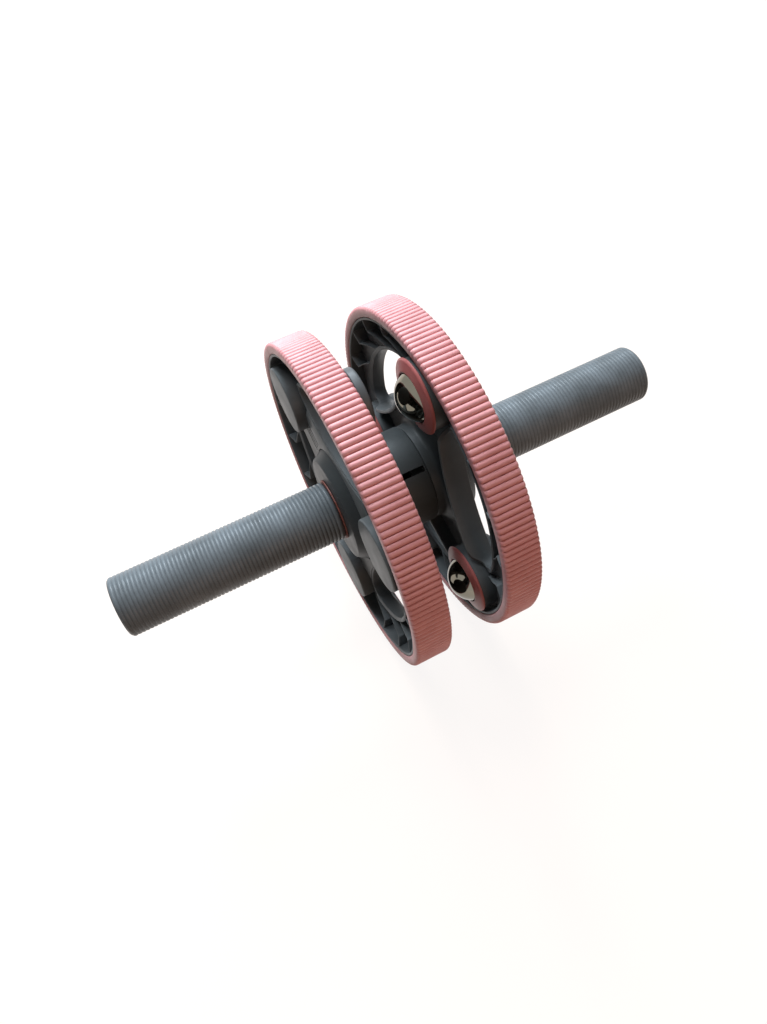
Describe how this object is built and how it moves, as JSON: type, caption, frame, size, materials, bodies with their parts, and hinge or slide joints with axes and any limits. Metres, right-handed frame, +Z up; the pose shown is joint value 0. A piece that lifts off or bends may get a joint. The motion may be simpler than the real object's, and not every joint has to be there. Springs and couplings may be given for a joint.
{
  "type": "ab wheel",
  "caption": "Twin-wheel ab roller with ribbed tyres, a twist-apart coupling, ball casters and foot pads between the wheels and a ribbed handle each side.",
  "frame": {"origin": "on the floor under the middle of the axle", "axes": "+X along the axle towards the right wheel, +Z up"},
  "size_m": [0.319, 0.19, 0.19],
  "materials": {
    "tyre": "soft satin, moulded ribs",
    "cap": "satin moulded",
    "frame": "satin moulded",
    "grip": "matt, ribbed",
    "seat": "smooth",
    "pad": "satin moulded",
    "plug": "satin moulded",
    "steel": "satin",
    "chrome": "mirror",
    "washer": "matt"
  },
  "bodies": {
    "left_wheel": {"tyre_left": "tyre", "frame_left": "frame", "hub_cover_left": "frame", "bearing_inner_left": "steel", "bearing_outer_left": "steel", "foot_pad_1": "pad", "foot_pad_2": "pad", "foot_pad_3": "pad", "coupling_drum": "frame", "drum_screw_1": "steel", "drum_screw_2": "steel", "drum_screw_3": "steel"},
    "right_wheel": {"tyre_right": "tyre", "frame_right": "frame", "hub_cover_right": "frame", "bearing_inner_right": "steel", "bearing_outer_right": "steel", "caster_cap_1": "cap", "caster_seat_1": "seat", "caster_cap_2": "cap", "caster_seat_2": "seat", "caster_cap_3": "cap", "caster_seat_3": "seat", "coupling_spigot": "frame", "spigot_screw_1": "steel", "spigot_screw_2": "steel", "spigot_screw_3": "steel"},
    "left_handle": {"handle_core_left": "steel", "grip_left": "grip", "end_plug_left": "plug", "grip_washer_left": "washer", "axle_washer_left": "steel", "axle_screw_left": "steel"},
    "right_handle": {"handle_core_right": "steel", "grip_right": "grip", "end_plug_right": "plug", "grip_washer_right": "washer", "axle_washer_right": "steel", "axle_screw_right": "steel"},
    "ball_1": {"caster_ball_1": "chrome"},
    "ball_2": {"caster_ball_2": "chrome"},
    "ball_3": {"caster_ball_3": "chrome"}
  },
  "joints": [
    {"name": "coupling_twist", "type": "hinge", "parent": "left_wheel", "child": "right_wheel", "pos_m": [0, 0, 0.09499], "axis": [1, 0, 0], "range_deg": [0, 60]},
    {"name": "left_handle_spin", "type": "hinge", "parent": "left_wheel", "child": "left_handle", "pos_m": [0, 0, 0.09499], "axis": [1, 0, 0], "continuous": true},
    {"name": "right_handle_spin", "type": "hinge", "parent": "right_wheel", "child": "right_handle", "pos_m": [0, 0, 0.09499], "axis": [1, 0, 0], "continuous": true},
    {"name": "ball_1_roll", "type": "hinge", "parent": "right_wheel", "child": "ball_1", "pos_m": [0.019, 0.00764, 0.16104], "axis": [1, 0, 0], "continuous": true},
    {"name": "ball_2_roll", "type": "hinge", "parent": "right_wheel", "child": "ball_2", "pos_m": [0.019, -0.06103, 0.06858], "axis": [1, 0, 0], "continuous": true},
    {"name": "ball_3_roll", "type": "hinge", "parent": "right_wheel", "child": "ball_3", "pos_m": [0.019, 0.05339, 0.05534], "axis": [1, 0, 0], "continuous": true}
  ]
}
